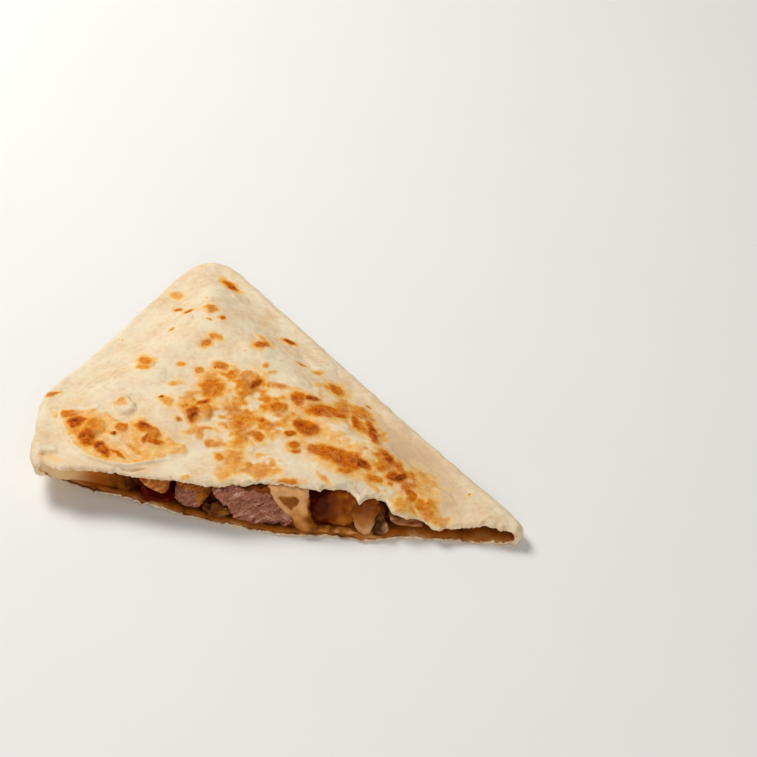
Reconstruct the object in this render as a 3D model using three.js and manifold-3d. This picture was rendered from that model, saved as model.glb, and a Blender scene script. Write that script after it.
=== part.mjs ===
// One wedge of a grilled quesadilla, lying flat. A flour tortilla is folded in from every side over the
// filling, pressed and grilled, and then cut: the wedge is closed by folds all round, apart from its
// cut side, where meat, melted cheese, pepper and onion show between the two layers.
//
// Millimetres, +Z up. The cut side runs along X and faces -Y. The origin is under the middle of the wedge,
// on the surface that it lies on.
import * as THREE from "three";
import { mergeVertices } from "three/addons/utils/BufferGeometryUtils.js";
import Module from "manifold-3d";

const wasm = await Module();
wasm.setup();

// ---------------------------------------------------------------- driving dimensions
const SHEET = 2.0; // thickness of the tortilla
const FOLD_REACH = 3.5; // how far a fold rounds out past the flat of the wedge
const FILL_TOP = 17.5; // height of the top layer over the full depth of filling
const FILL_SLOPE = 19.0; // distance from a fold in which the top layer climbs to it
const CUT_BLEND = 26.0; // distance behind the cut in which the cut's own height fades out
const CURL_HEIGHT = 9.0; // how far the front left corner curls up off the surface
const CURL_START = 56.0; // distance from the plan's origin, towards that corner, where the curl starts
const CURL_END = 104.0; // the same, where the corner is reached
const CURL_TURN = (215 * Math.PI) / 180; // direction of that corner
const FLAP_DEPTH = 2.2; // how far the folded-in side flap stands back from the cut
const FILLING_DEPTH = 5.5; // how far the melted cheese stands back from the cut
const GAP = 0.35; // clearance between neighbouring pieces
const CENTRE = [1.0, -6.0]; // middle of the wedge in the plan below, which becomes the origin

// Plan of the fold's outermost line, clockwise from the left end of the cut: x, y, rounding of the corner.
const FOLD_CORNERS = [
  [-84.8, -63.0, 0],
  [-87.6, -57.0, 5],
  [-88.8, -23.0, 5],
  [-84.2, -11.5, 6],
  [-35.0, 75.0, 24],
  [92.0, -71.8, 4],
  [89.2, -76.4, 0],
];
// Thickness over the fold, by share of the fold's length from the left end of the cut.
const FOLD_HEIGHT = [[0, 8.4], [0.1, 8.6], [0.25, 6.6], [0.5, 6.2], [0.8, 6.2], [1, 8.2]];

// Edge of each layer along the cut: x, y.
const TOP_LIP = [
  [-77, -64.2], [-62, -64.2], [-46, -66.5], [-34, -67.8], [-23, -69.4], [-12, -68.6], [-2, -67.0],
  [8, -67.6], [18, -68.0], [28, -66.8], [31.7, -70.8], [35, -68.0], [41, -67.6], [43.5, -71.6],
  [54, -71.9], [58.5, -74.8], [66, -73.2], [78, -73.2], [83, -74.4],
];
const BOTTOM_LIP = [
  [-78, -61.4], [-64, -64.0], [-52, -65.2], [-40, -68.0], [-28, -70.6], [-12, -73.8], [0, -75.8],
  [8, -76.4], [24, -75.8], [36, -77.2], [44, -75.4], [58, -74.8], [76, -75.2], [83, -75.6],
];
// Height of the top layer's upper face along the cut, over the curl: x, height.
const CUT_HEIGHT = [
  [-82, 8.2], [-72, 10.4], [-59, 13.2], [-46, 15.5], [-34, 17.3], [-22, 18.0], [12, 18.0], [25, 17.0],
  [31.7, 15.0], [36.5, 14.0], [41.5, 12.6], [45, 11.0], [55, 8.5], [60, 7.2], [68, 7.0], [78, 8.8], [86, 8.2],
];

// Blisters: centre x and y, half width, half depth, turn in degrees, height.
const BLISTERS = [
  [-53, -41, 25, 13.5, -14, 1.5],
  [-49, -15, 7.5, 6, 0, 0.9],
  [-37, 5, 6, 4.5, 10, 0.8],
  [-70, -2, 5, 4, 30, 0.6],
  [-18, -22, 9, 7, 20, 1.0],
  [-10, 3, 8, 6, 0, 0.9],
  [20, -34, 11, 6, -35, 1.0],
  [38, -48, 17, 6, -24, 1.1],
  [-82, -55, 6, 4, 0, 0.8],
  [-28, 38, 10, 7, 40, 1.0],
  [14, 6, 9, 6, -45, 0.9],
  [45, -22, 8, 5, -45, 0.8],
];

// Pieces of filling at the cut, in the order in which they take up the room between the layers: middle,
// size, turn about the upright and tilt towards the right in degrees, squareness (1 is round, less is boxy).
const MORSELS = {
  onion_bit: { at: [-17.8, -70.8, 5.2], size: [7, 6, 6], turn: 10, square: 0.7, seed: 5.0 },
  meat_large: { at: [-5, -66.5, 8.4], size: [29.5, 22, 18], turn: 4, square: 0.5, seed: 1.3 },
  meat_small: { at: [-28, -63, 9.5], size: [11.5, 14, 11.5], turn: -8, square: 0.6, seed: 4.1 },
  chicken_strip: { at: [-40, -60, 11.5], size: [13, 14, 8.5], turn: 5, tilt: 8, square: 0.65, seed: 2.2 },
  pepper_strip: { at: [-40, -60.5, 5.2], size: [14, 16, 5], turn: -6, square: 0.7, seed: 0.4 },
  roast_chunk: { at: [22.2, -64.5, 7.8], size: [17, 17, 13.5], turn: -5, square: 0.6, seed: 3.3 },
  amber_onion: { at: [36, -65, 7.8], size: [11.5, 13, 7.5], turn: 6, square: 0.6, seed: 2.9 },
  onion_strings: { at: [40, -71, 4.6], size: [8, 5.5, 4.5], turn: -20, tilt: -25, square: 0.8, seed: 1.0 },
  ham_strip: { at: [50, -66, 5.2], size: [14, 13, 3], turn: 4, tilt: 12, square: 0.6, seed: 0.9 },
};
// The melted cheese runs down the cut between the meat and the roast chunk, and drips further right.
const CHEESE_RUNS = [
  { at: [5.5, -74, 13], size: [19, 9, 7], square: 0.6, seed: 0.7 },
  { at: [12, -69, 8], size: [7, 17, 12], turn: 4, square: 0.7, seed: 1.9 },
  { at: [12, -73, 3.6], size: [11, 8, 4], square: 0.8, seed: 0.2 },
  { at: [35.2, -73, 5.0], size: [5.5, 13, 6], tilt: 20, square: 0.8, seed: 2.7 },
];

// Fineness of the meshes: counts across the wedge, front to back and round the fold.
const OUTER_CELLS = [50, 32, 6];
const INNER_CELLS = [24, 14, 3];
const CUTTER_CELLS = [26, 4, 2];
const RIM_STEPS = 240;
const MORSEL_DETAIL = 2;
const BACK_CORNER = 0.235; // share of the fold's length where the faces' grid has its second corner
const APEX_CORNER = 0.455; // and its third, at the apex

// ---------------------------------------------------------------- curves and fields
const smooth = (t) => {
  const c = Math.min(1, Math.max(0, t));
  return c * c * (3 - 2 * c);
};
const mix = (a, b, t) => a + (b - a) * t;

// The smooth curve through stations of x and value, level beyond both ends.
function along(stations, x) {
  const last = stations.length - 1;
  if (x <= stations[0][0]) return stations[0][1];
  if (x >= stations[last][0]) return stations[last][1];
  let i = 0;
  while (x > stations[i + 1][0]) i++;
  const slope = (j) =>
    j === 0 || j === last
      ? 0
      : (stations[j + 1][1] - stations[j - 1][1]) / (stations[j + 1][0] - stations[j - 1][0]);
  const span = stations[i + 1][0] - stations[i][0];
  const t = (x - stations[i][0]) / span;
  const rise = t * t * (3 - 2 * t);
  return (
    mix(stations[i][1], stations[i + 1][1], rise) +
    span * slope(i) * t * (1 - t) * (1 - t) -
    span * slope(i + 1) * t * t * (1 - t)
  );
}

// The path through corners, each rounded by a quadratic curve that starts its rounding before it.
function roundedPath(corners) {
  const path = new THREE.Path().moveTo(corners[0][0], corners[0][1]);
  for (let i = 1; i < corners.length - 1; i++) {
    const [previous, corner, next] = corners.slice(i - 1, i + 2).map(([x, y]) => new THREE.Vector2(x, y));
    const round = corners[i][2];
    const start = corner.clone().add(previous.sub(corner).setLength(round));
    const end = corner.clone().add(next.sub(corner).setLength(round));
    path.lineTo(start.x, start.y).quadraticCurveTo(corner.x, corner.y, end.x, end.y);
  }
  return path.lineTo(corners.at(-1)[0], corners.at(-1)[1]);
}

const fold = roundedPath(FOLD_CORNERS);
fold.arcLengthDivisions = 800;

// The edge of the flat of the wedge at share t of the fold: plan point, and the outward normal there.
function rim(t) {
  const tangent = fold.getTangentAt(t);
  const normal = new THREE.Vector2(-tangent.y, tangent.x);
  const point = fold.getPointAt(t).addScaledVector(normal, -FOLD_REACH);
  return { point, normal };
}

const rimLine = Array.from({ length: RIM_STEPS + 1 }, (_, i) => rim(i / RIM_STEPS).point);
const LEFT_END = rimLine[0];
const RIGHT_END = rimLine[RIM_STEPS];

// Distance from a plan point to the rim, and the share of the fold where it is nearest.
function nearestRim(x, y) {
  let best = Infinity;
  let share = 0;
  for (let i = 0; i < RIM_STEPS; i++) {
    const a = rimLine[i];
    const b = rimLine[i + 1];
    const [ux, uy] = [b.x - a.x, b.y - a.y];
    const t = Math.min(1, Math.max(0, ((x - a.x) * ux + (y - a.y) * uy) / (ux * ux + uy * uy)));
    const distance = Math.hypot(x - a.x - t * ux, y - a.y - t * uy);
    if (distance < best) [best, share] = [distance, (i + t) / RIM_STEPS];
  }
  return { distance: best, share };
}

const pinned = (stations) => [LEFT_END.toArray(), ...stations, RIGHT_END.toArray()];
const topLip = (x) => along(pinned(TOP_LIP), x);
const bottomLip = (x) => along(pinned(BOTTOM_LIP), x);

// How far the lower face lies off the surface.
function curl(x, y) {
  const towards = x * Math.cos(CURL_TURN) + y * Math.sin(CURL_TURN);
  const share = Math.max(0, (towards - CURL_START) / (CURL_END - CURL_START));
  return CURL_HEIGHT * Math.min(1, share) ** 1.7;
}

// Where chunks of the filling push the top layer up.
const lumps = (x, y) =>
  0.7 * Math.sin(x / 10.5 + 1.1) * Math.cos(y / 12 + 0.5) + 0.45 * Math.sin(x / 6.3 - y / 7.1 + 2.4);

function blisters(x, y) {
  let height = 0;
  for (const [cx, cy, rx, ry, turn, rise] of BLISTERS) {
    const [c, s] = [Math.cos((turn * Math.PI) / 180), Math.sin((turn * Math.PI) / 180)];
    const u = ((x - cx) * c + (y - cy) * s) / rx;
    const v = ((y - cy) * c - (x - cx) * s) / ry;
    const inside = 1 - u * u - v * v;
    if (inside > 0) height = Math.max(height, rise * smooth(1.4 * inside));
  }
  return height;
}

function topFace(x, y) {
  const { distance, share } = nearestRim(x, y);
  const edge = along(FOLD_HEIGHT, share);
  const climb = 1 - Math.exp(-((distance / FILL_SLOPE) ** 2));
  const filled = mix(edge, FILL_TOP + lumps(x, y), climb);
  const behind = smooth((y - topLip(x)) / CUT_BLEND);
  return curl(x, y) + mix(along(CUT_HEIGHT, x), filled, behind);
}

// ---------------------------------------------------------------- solids
// A geometry from a list of triangles, each three points.
function geometryFrom(triangles) {
  const numbers = triangles.flatMap((triangle) => triangle.flatMap((p) => p.toArray()));
  const position = new THREE.Float32BufferAttribute(numbers, 3);
  return new THREE.BufferGeometry().setAttribute("position", position);
}

function solidOf(geometry) {
  geometry.deleteAttribute("normal");
  geometry.deleteAttribute("uv");
  const merged = mergeVertices(geometry, 1e-4);
  return new wasm.Manifold(
    new wasm.Mesh({
      numProp: 3,
      vertProperties: merged.attributes.position.array,
      triVerts: new Uint32Array(merged.index.array),
    }),
  );
}

function geometryOf(solid) {
  const mesh = solid.getMesh();
  const points = new Float32Array(mesh.numVert * 3);
  for (let i = 0; i < mesh.numVert; i++) {
    const start = i * mesh.numProp;
    points.set(mesh.vertProperties.subarray(start, start + 3), i * 3);
  }
  const geometry = new THREE.BufferGeometry();
  geometry.setAttribute("position", new THREE.BufferAttribute(points, 3));
  geometry.setIndex(new THREE.BufferAttribute(new Uint32Array(mesh.triVerts), 1));
  geometry.computeVertexNormals();
  return geometry;
}

// The points round a cell of two by two.
const CELL_RING = [[0, 0], [1, 0], [2, 0], [2, 1], [2, 2], [1, 2], [0, 2], [0, 1]];

const quad = (list, a, b, c, d) => {
  list.push([a, b, c], [a, c, d]);
};

// The wedge's pillow form, drawn in by `skin` on every side but the cut, which it reaches `forward` past.
// `relief` adds the blisters. `cells` counts across, front to back and round the fold.
function pillow({ skin, forward, relief = false, cells }) {
  const [across, deep, round] = cells;
  const reach = FOLD_REACH - skin;
  const top = (p) => {
    const raised = relief ? blisters(p.x, p.y) : 0;
    return new THREE.Vector3(p.x, p.y, topFace(p.x, p.y) - skin + raised);
  };
  const bottom = (p) => new THREE.Vector3(p.x, p.y, curl(p.x, p.y) + skin);

  // The rim on three sides. Its two ends at the cut move forward with it.
  const side = (t, b) => {
    const at = rim(t);
    at.point.y -= forward * Math.max(0, 1 - (b * deep) / 2);
    return at;
  };
  const left = (b) => side(BACK_CORNER * b, b);
  const back = (a) => rim(mix(BACK_CORNER, APEX_CORNER, a));
  const right = (b) => side(mix(1, APEX_CORNER, b), b);

  // The plan of one face: a grid blended from its four sides, the first of which is the lip.
  const corners = [left(0), right(0), left(1), right(1)].map((at) => at.point);
  const planOf = (lip) =>
    Array.from({ length: deep + 1 }, (_, j) =>
      Array.from({ length: across + 1 }, (_, i) => {
        const [a, b] = [i / across, j / deep];
        const x = mix(LEFT_END.x, RIGHT_END.x, a);
        const front = new THREE.Vector2(x, lip(x) - forward);
        const sideways = left(b).point.lerp(right(b).point, a);
        const lengthwise = front.lerp(back(a).point, b);
        const near = corners[0].clone().lerp(corners[1], a);
        const far = corners[2].clone().lerp(corners[3], a);
        return lengthwise.add(sideways).sub(near.lerp(far, b));
      }),
    );
  const upper = planOf(topLip).map((row) => row.map(top));
  const lower = planOf(bottomLip).map((row) => row.map(bottom));

  const faces = [];
  for (let j = 0; j < deep; j++)
    for (let i = 0; i < across; i++)
      quad(faces, upper[j][i], upper[j][i + 1], upper[j + 1][i + 1], upper[j + 1][i]);

  // The lower face is nearly flat: its cells are twice as large, except along its edges.
  const onEdge = ([u, v]) => u % across === 0 || v % deep === 0;
  for (let j = 0; j < deep; j += 2)
    for (let i = 0; i < across; i += 2) {
      const ring = CELL_RING.map(([u, v]) => [i + u, j + v])
        .filter(([u, v]) => (u % 2 === 0 && v % 2 === 0) || onEdge([u, v]))
        .map(([u, v]) => lower[v][u]);
      const centre = lower[j + 1][i + 1];
      if (ring.length === 4) quad(faces, ring[0], ring[3], ring[2], ring[1]);
      else ring.forEach((p, k) => faces.push([centre, ring[(k + 1) % ring.length], p]));
    }

  // The rounded fold, from the left end of the cut round the back to its right end.
  const stations = [];
  const station = (i, j, at) => stations.push([upper[j][i], lower[j][i], at.normal]);
  for (let j = 0; j < deep; j++) station(0, j, left(j / deep));
  for (let i = 0; i < across; i++) station(i, deep, back(i / across));
  for (let j = deep; j >= 0; j--) station(across, j, right(j / deep));
  const arc = ([up, low, normal], k) => {
    if (k === 0) return up;
    if (k === round) return low;
    const angle = Math.PI * (0.5 - k / round);
    return new THREE.Vector3(
      up.x + normal.x * reach * Math.cos(angle),
      up.y + normal.y * reach * Math.cos(angle),
      (up.z + low.z) / 2 + ((up.z - low.z) / 2) * Math.sin(angle),
    );
  };
  for (let s = 0; s < stations.length - 1; s++) {
    const [here, next] = [stations[s], stations[s + 1]];
    for (let k = 0; k < round; k++)
      quad(faces, arc(here, k), arc(next, k), arc(next, k + 1), arc(here, k + 1));
  }

  // The front: each layer's own edge stands upright, and the face between them slopes.
  const upright = SHEET + 0.6;
  const under = upper[0].map((p) => new THREE.Vector3(p.x, p.y, p.z - upright));
  const over = lower[0].map((p) => new THREE.Vector3(p.x, p.y, p.z + upright));
  for (let i = 0; i < across; i++) {
    quad(faces, upper[0][i], under[i], under[i + 1], upper[0][i + 1]);
    quad(faces, under[i], over[i], over[i + 1], under[i + 1]);
    quad(faces, over[i], lower[0][i], lower[0][i + 1], over[i + 1]);
  }

  // The two ends of the fold, where the cut goes through it.
  const middle = Math.ceil(round / 2);
  const closeEnd = (end, high, low, turned) => {
    const face = (a, b, c) => faces.push(turned ? [a, c, b] : [a, b, c]);
    for (let k = 0; k < round; k++) face(k < middle ? high : low, arc(end, k), arc(end, k + 1));
    face(high, arc(end, middle), low);
  };
  closeEnd(stations[0], under[0], over[0], false);
  closeEnd(stations.at(-1), under[across], over[across], true);
  return solidOf(geometryFrom(faces));
}

// An upright block over a plan outline.
function block(outline, low, high) {
  const shape = new THREE.Shape(outline.map(([x, y]) => new THREE.Vector2(x, y)));
  const geometry = new THREE.ExtrudeGeometry(shape, { depth: high - low, bevelEnabled: false });
  return solidOf(geometry.translate(0, 0, low));
}

// The side flap, folded in between the layers at the left end: its front stands back from the cut.
function sideFlap(clearance) {
  const steps = 14;
  const [start, end] = [-96, -48];
  const edge = Array.from({ length: steps + 1 }, (_, i) => {
    const x = mix(start, end, i / steps);
    return [x + clearance, topLip(x) + FLAP_DEPTH + 9 * smooth((x + 62) / 14) - clearance];
  });
  const inner = [[-47, -50], [-51, -36], [-61, -12], [-76, 4]].map(([x, y]) => [x + clearance, y]);
  return block([...edge, ...inner, [-96, 4]], -5, 40);
}

// A morsel of the filling: a rounded block with a lumpy skin. `grow` makes room for it in what lies round it.
function morsel({ at, size, turn = 0, tilt = 0, square = 0.6, lump = 0.06, seed = 0 }, grow = 0) {
  const geometry = new THREE.IcosahedronGeometry(1, MORSEL_DETAIL);
  const points = geometry.attributes.position;
  const p = new THREE.Vector3();
  for (let i = 0; i < points.count; i++) {
    p.fromBufferAttribute(points, i);
    const bump =
      Math.sin(3.1 * p.x + seed) * Math.sin(2.7 * p.y + 1.7 * seed) + Math.sin(4.3 * p.z + 2.1 * p.x + seed);
    for (const axis of ["x", "y", "z"]) p[axis] = Math.sign(p[axis]) * Math.abs(p[axis]) ** square;
    p.multiplyScalar(1 + lump * bump);
    points.setXYZ(i, p.x * (size[0] / 2 + grow), p.y * (size[1] / 2 + grow), p.z * (size[2] / 2 + grow));
  }
  geometry.rotateY((tilt * Math.PI) / 180).rotateZ((turn * Math.PI) / 180);
  return solidOf(geometry.translate(...at));
}

// ---------------------------------------------------------------- the tortilla and its filling
const outside = pillow({ skin: 0, forward: 0, relief: true, cells: OUTER_CELLS });
const hollow = pillow({ skin: SHEET, forward: 6, cells: INNER_CELLS });
const tortilla = outside.subtract(hollow.subtract(sideFlap(0)));

// The room between the layers, up to a face that stands `forward` of the cut.
const inside = pillow({ skin: SHEET + GAP, forward: 6, cells: INNER_CELLS });
const roomUpTo = (forward) => inside.intersect(pillow({ skin: -5, forward, cells: CUTTER_CELLS }));
const joined = (forms, grow) => forms.map((form) => morsel(form, grow)).reduce((a, b) => a.add(b));

const room = roomUpTo(0.4);
const pieces = {};
let taken = sideFlap(GAP).add(joined(CHEESE_RUNS, GAP));
for (const [name, form] of Object.entries(MORSELS)) {
  pieces[name] = morsel(form).intersect(room).subtract(taken);
  taken = taken.add(morsel(form, GAP));
}
const cheese = roomUpTo(-FILLING_DEPTH)
  .subtract(joined(Object.values(MORSELS), GAP))
  .subtract(sideFlap(GAP))
  .add(joined(CHEESE_RUNS).intersect(room));

// ---------------------------------------------------------------- the scene
const LOOKS = {
  tortilla: [0xe6cca0, 0.75],
  melted_cheese: [0xd9a55e, 0.35],
  meat_large: [0x9c5a48, 0.5],
  meat_small: [0x9a5a4c, 0.5],
  chicken_strip: [0xb07a48, 0.55],
  pepper_strip: [0x7a1c0c, 0.3],
  onion_bit: [0x5e4318, 0.4],
  roast_chunk: [0x6a2408, 0.4],
  amber_onion: [0x8a4208, 0.3],
  onion_strings: [0x8a6a44, 0.35],
  ham_strip: [0x8c5240, 0.4],
};
const wedge = new THREE.Group();
for (const [name, solid] of Object.entries({ tortilla, melted_cheese: cheese, ...pieces })) {
  const [color, roughness] = LOOKS[name];
  const material = new THREE.MeshStandardMaterial({ color, roughness, metalness: 0 });
  const mesh = new THREE.Mesh(geometryOf(solid).translate(-CENTRE[0], -CENTRE[1], 0), material);
  mesh.name = name;
  wedge.add(mesh);
}

export default wedge;
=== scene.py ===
"""One wedge of a grilled quesadilla: a folded and toasted flour tortilla over meat, cheese, pepper and onion.

Shapes are worked out in millimetres in the wedge's plan, as in the part's source. A mesh becomes metres about
the wedge's middle when it is made.
"""

import math

import bmesh
import bpy
import numpy as np
from mathutils import Matrix, Vector, noise


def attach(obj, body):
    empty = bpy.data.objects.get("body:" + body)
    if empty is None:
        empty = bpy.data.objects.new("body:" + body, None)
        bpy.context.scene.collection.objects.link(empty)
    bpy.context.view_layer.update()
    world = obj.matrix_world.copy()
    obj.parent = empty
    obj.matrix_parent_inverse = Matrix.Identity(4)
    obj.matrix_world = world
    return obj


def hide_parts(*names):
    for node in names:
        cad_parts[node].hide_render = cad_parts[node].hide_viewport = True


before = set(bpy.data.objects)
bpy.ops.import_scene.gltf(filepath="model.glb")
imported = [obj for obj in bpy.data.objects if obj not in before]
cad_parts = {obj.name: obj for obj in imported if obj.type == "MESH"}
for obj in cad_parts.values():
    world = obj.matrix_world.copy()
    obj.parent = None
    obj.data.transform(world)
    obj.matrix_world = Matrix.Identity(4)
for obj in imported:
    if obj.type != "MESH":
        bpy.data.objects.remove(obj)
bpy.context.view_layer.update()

# ---- the wedge's driving dimensions, mm
SHEET = 2.0  # thickness of the tortilla
TOP_EDGE_PROUD, LOWER_EDGE_PROUD = 0.4, 0.12  # how far the layers' cut edges bulge out
FOLD_REACH = 3.5  # how far a fold rounds out past the flat of the wedge
FILL_TOP = 17.5  # height of the top layer over the full depth of filling
FILL_SLOPE = 19.0  # distance from a fold in which the top layer climbs to it
CUT_BLEND = 26.0  # distance behind the cut in which the cut's own height fades out
CURL_HEIGHT = 9.0  # how far the front left corner curls up
CURL_START, CURL_END = 56.0, 104.0  # where the curl starts and ends, towards that corner
CURL_TURN = math.radians(215)  # direction of that corner
FLAP_DEPTH = 2.2  # how far the folded-in side flap stands back from the cut
FLAP_LEFT, FLAP_RIGHT, FLAP_THICK = -84.0, -44.5, 5.0  # the flap's two ends and its thickness
CENTRE = (1.0, -6.0)  # middle of the wedge in the plan
PLAN_WIDE, PLAN_DEEP = (-86, 86), (-76, 70)  # the part of the plan that gets random marks

# Plan of the fold's outermost line: x, y, rounding of the corner.
FOLD_CORNERS = [
    (-84.8, -63, 0), (-87.6, -57, 5), (-88.8, -23, 5), (-84.2, -11.5, 6), (-35, 75, 24), (92, -71.8, 4),
    (89.2, -76.4, 0),
]
FOLD_HEIGHT = [(0, 8.4), (0.1, 8.6), (0.25, 6.6), (0.5, 6.2), (0.8, 6.2), (1, 8.2)]
TOP_LIP = [
    (-77, -64.2), (-62, -64.2), (-46, -66.5), (-34, -67.8), (-23, -69.4), (-12, -68.6), (-2, -67),
    (8, -67.6), (18, -68), (28, -66.8), (31.7, -70.8), (35, -68), (41, -67.6), (43.5, -71.6), (54, -71.9),
    (58.5, -74.8), (66, -73.2), (78, -73.2), (83, -74.4),
]
BOTTOM_LIP = [
    (-78, -61.4), (-64, -64), (-52, -65.2), (-40, -68), (-28, -70.6), (-12, -73.8), (0, -75.8), (8, -76.4),
    (24, -75.8), (36, -77.2), (44, -75.4), (58, -74.8), (76, -75.2), (83, -75.6),
]
CUT_HEIGHT = [
    (-82, 8.2), (-72, 10.4), (-59, 13.2), (-46, 15.5), (-34, 17.3), (-22, 18), (12, 18), (25, 17),
    (31.7, 15), (36.5, 14), (41.5, 12.6), (45, 11), (55, 8.5), (60, 7.2), (68, 7), (78, 8.8), (86, 8.2),
]

# Outline of the big blister at the left of the top, which has sunk inside its rim, and the pale ridge across
# it: x, y, half length, half width, turn.
BIG_BLISTER = [
    (-80.3, -32.6), (-79.7, -37.1), (-78.3, -41.7), (-75.4, -48.2), (-72.1, -53.5), (-68.2, -57.7),
    (-63.1, -60.8), (-58.1, -62.9), (-53, -63.4), (-47.7, -62.8), (-42.6, -61.4), (-37.1, -59.4),
    (-32, -57.3), (-29.9, -53.2), (-31.1, -48.8), (-34.8, -47.9), (-39, -46.1), (-43, -42.7),
    (-46.9, -40.3), (-50.9, -40), (-54.9, -38), (-60.5, -34.6), (-65.9, -32.7), (-70.8, -32.3),
    (-75.6, -31.9),
]
PALE_RIDGE = (-54.7, -53.5, 9.6, 1.9, -43)

# The other blisters: x, y, half width, half depth, turn, height.
BLISTERS = [
    (-49, -15, 7.5, 6, 0, 0.9), (-37, 5, 6, 4.5, 10, 0.8), (-70, -2, 5, 4, 30, 0.6),
    (-18, -22, 9, 7, 20, 1), (-10, 3, 8, 6, 0, 0.9), (20, -34, 11, 6, -35, 1), (38, -48, 17, 6, -24, 1.1),
    (-82, -55, 6, 4, 0, 0.8), (-28, 38, 10, 7, 40, 1), (14, 6, 9, 6, -45, 0.9), (45, -22, 8, 5, -45, 0.8),
]

# Small bubbles on and between them, in the same terms. Those below zero are dimples.
BUBBLES = [
    (-65.6, -44.5, 5.4, 4.4, -72, 1.3), (-27.6, -35, 5.1, 4.3, 88, 1.3), (-12, -15.2, 5, 4.4, 55, 1.2),
    (-56.1, -31.9, 5.8, 4.7, -72, 1.5), (-57.6, -30.6, 2.6, 1.9, 18, -0.9), (-52, -8, 4.5, 3, -20, 0.9),
    (-77.6, -60.4, 5.8, 4.4, -12, -0.65), (0, -29, 4.2, 3.4, 0, 0.8), (-68, -17, 4.5, 2, 30, -0.6),
    (-63, -20, 3, 2, -20, -0.5), (-71, -16, 3, 1.6, 50, -0.5), (-49, -64.6, 5.5, 0.9, -9, -1),
    (-12, -60, 5, 4, 0, 0.6), (47, -69, 5, 3.4, 50, 0.8), (30, -66, 5, 3, 20, -0.4),
    (-3, -52, 6, 4, 30, -0.5), (8, -12, 4, 3, 0, 0.6), (-40, 20, 5, 3.5, 60, 0.7),
    (12, -34, 5, 3, -20, -0.4), (-20, 40, 4, 3, 10, 0.7), (-8, 12, 4.5, 3, -30, 0.6),
    (-35, -50, 5, 3, 20, -0.4), (62, -62, 5, 3, -40, 0.6), (-47, 34, 4, 3, 40, 0.5),
    (-67, -33.8, 4.2, 1, 61, 0.5), (-52.4, -56.6, 7.5, 0.8, -43, -0.6), (-44.4, -46.6, 4.2, 3, -50, 0.7),
]

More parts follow.
